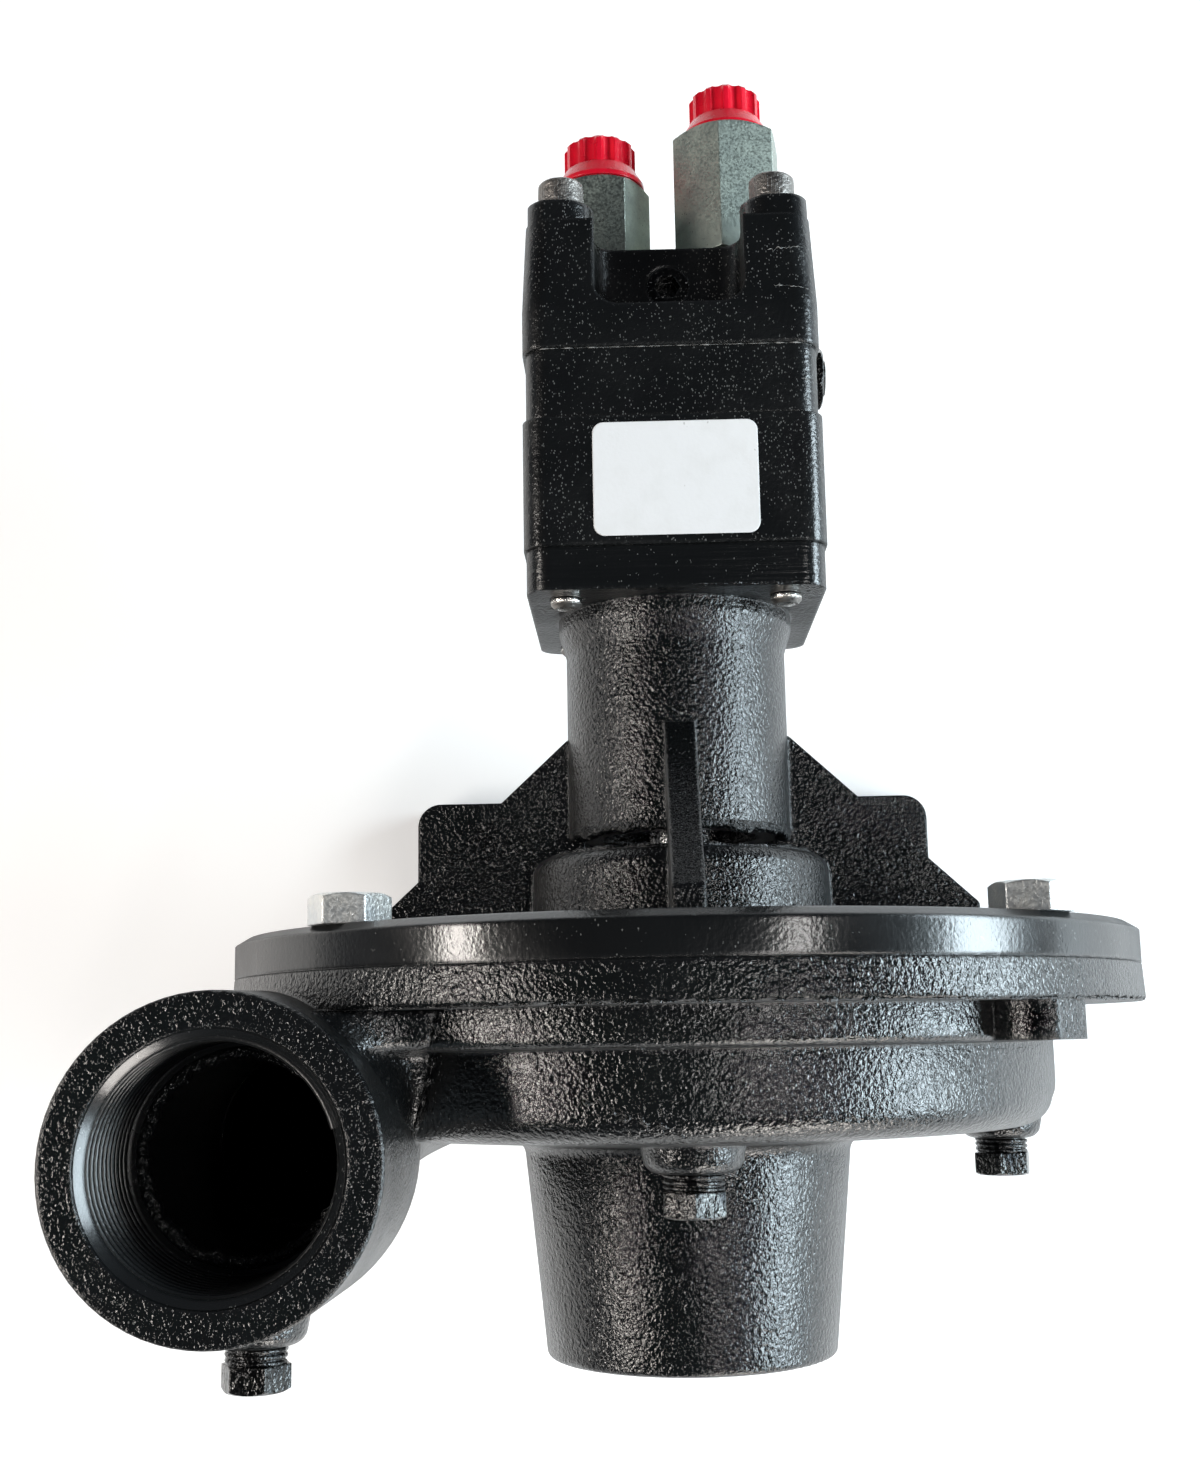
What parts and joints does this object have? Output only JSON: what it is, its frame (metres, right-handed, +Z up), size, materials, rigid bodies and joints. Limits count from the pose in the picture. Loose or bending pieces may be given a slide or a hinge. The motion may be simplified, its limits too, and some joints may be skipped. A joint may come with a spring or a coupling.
{
  "type": "hydraulic-driven centrifugal pump",
  "caption": "Foot-mounted volute water pump on a cast bracket, driven by a square gerotor oil motor with two capped ports.",
  "frame": {"origin": "middle of the line between the two foot bolts, on the underside of the foot", "axes": "+Y along the shaft from the suction inlet towards the oil motor, +Z up along the outlet pipe"},
  "size_m": [0.2001, 0.2728, 0.1903],
  "materials": {
    "pump_paint": "gloss black paint over sand-cast iron",
    "motor_paint": "gloss black paint over machined and cast iron",
    "zinc_bolt": "bright zinc plate",
    "socket_steel": "dull alloy steel",
    "plug_steel": "dark oiled steel",
    "zinc_adapter": "pale zinc plate",
    "cap_plastic": "glossy red moulding",
    "ground_steel": "ground",
    "rotor_steel": "ground",
    "spring_steel": "bright",
    "impeller_iron": "cast, machined rings",
    "bronze": "turned",
    "rubber": "moulded",
    "carbon": "lapped",
    "ceramic": "lapped"
  },
  "bodies": {
    "casing": {"volute_casing": "pump_paint", "front_vent_plug": "plug_steel", "side_drain_plug": "plug_steel", "outlet_drain_plug": "plug_steel", "casing_o_ring": "rubber", "casing_bolts": "zinc_bolt", "motor_bracket": "pump_paint", "seal_seat": "ceramic", "seal_seat_cup": "rubber", "motor_body": "motor_paint", "shaft_lip_seal": "rubber", "snap_ring": "ground_steel", "front_bearing_outer": "ground_steel", "gerotor_housing": "motor_paint", "front_plate_seal": "rubber", "rear_plate_seal": "rubber", "dowel_pins": "ground_steel", "end_cover": "motor_paint", "rear_bush": "bronze", "through_bolts": "socket_steel", "recess_plug": "socket_steel", "bypass_jam_nut": "zinc_bolt", "pressure_adapter": "zinc_adapter", "return_adapter": "zinc_adapter", "valve_retainer": "ground_steel", "valve_spring": "spring_steel"},
    "rotor": {"motor_shaft": "ground_steel", "impeller": "impeller_iron", "impeller_washer": "spring_steel", "impeller_nut": "spring_steel", "impeller_key": "ground_steel", "seal_head": "carbon", "seal_bellows": "rubber", "seal_spring": "spring_steel", "slinger": "rubber", "front_bearing_inner": "ground_steel", "gerotor_inner": "rotor_steel", "gerotor_key": "ground_steel"},
    "outer_rotor": {"gerotor_outer": "rotor_steel"},
    "bearing_cage": {"front_bearing_balls": "ground_steel", "front_bearing_cage": "bronze"},
    "bypass_screw": {"bypass_needle": "socket_steel"},
    "return_valve": {"valve_poppet": "ground_steel"},
    "pressure_plug": {"pressure_cap": "cap_plastic"},
    "return_plug": {"return_cap": "cap_plastic"}
  },
  "joints": [
    {"name": "shaft_spin", "type": "hinge", "parent": "casing", "child": "rotor", "pos_m": [0, -0.028, 0.098], "axis": [0, 1, 0], "continuous": true},
    {"name": "outer_rotor_spin", "type": "hinge", "parent": "casing", "child": "outer_rotor", "pos_m": [0, 0.084, 0.0998], "axis": [0, 1, 0], "continuous": true},
    {"name": "bearing_cage_spin", "type": "hinge", "parent": "casing", "child": "bearing_cage", "pos_m": [0, 0.062, 0.098], "axis": [0, 1, 0], "continuous": true},
    {"name": "bypass_adjust", "type": "slide", "parent": "casing", "child": "bypass_screw", "axis": [1, 0, 0], "range_m": [0, 0.004]},
    {"name": "valve_lift", "type": "slide", "parent": "casing", "child": "return_valve", "axis": [0, 1, 0], "range_m": [0, 0.0025], "stiffness_N_per_m": 300, "springref_m": -0.003, "deforming": ["valve_spring"]},
    {"name": "pressure_cap_pull", "type": "slide", "parent": "casing", "child": "pressure_plug", "axis": [0, 1, 0], "range_m": [0, 0.01]},
    {"name": "return_cap_pull", "type": "slide", "parent": "casing", "child": "return_plug", "axis": [0, 1, 0], "range_m": [0, 0.01]}
  ],
  "couplings": [
    {"joint": "outer_rotor_spin", "follows": "shaft_spin", "ratio": 0.85714},
    {"joint": "bearing_cage_spin", "follows": "shaft_spin", "ratio": 0.3847}
  ]
}
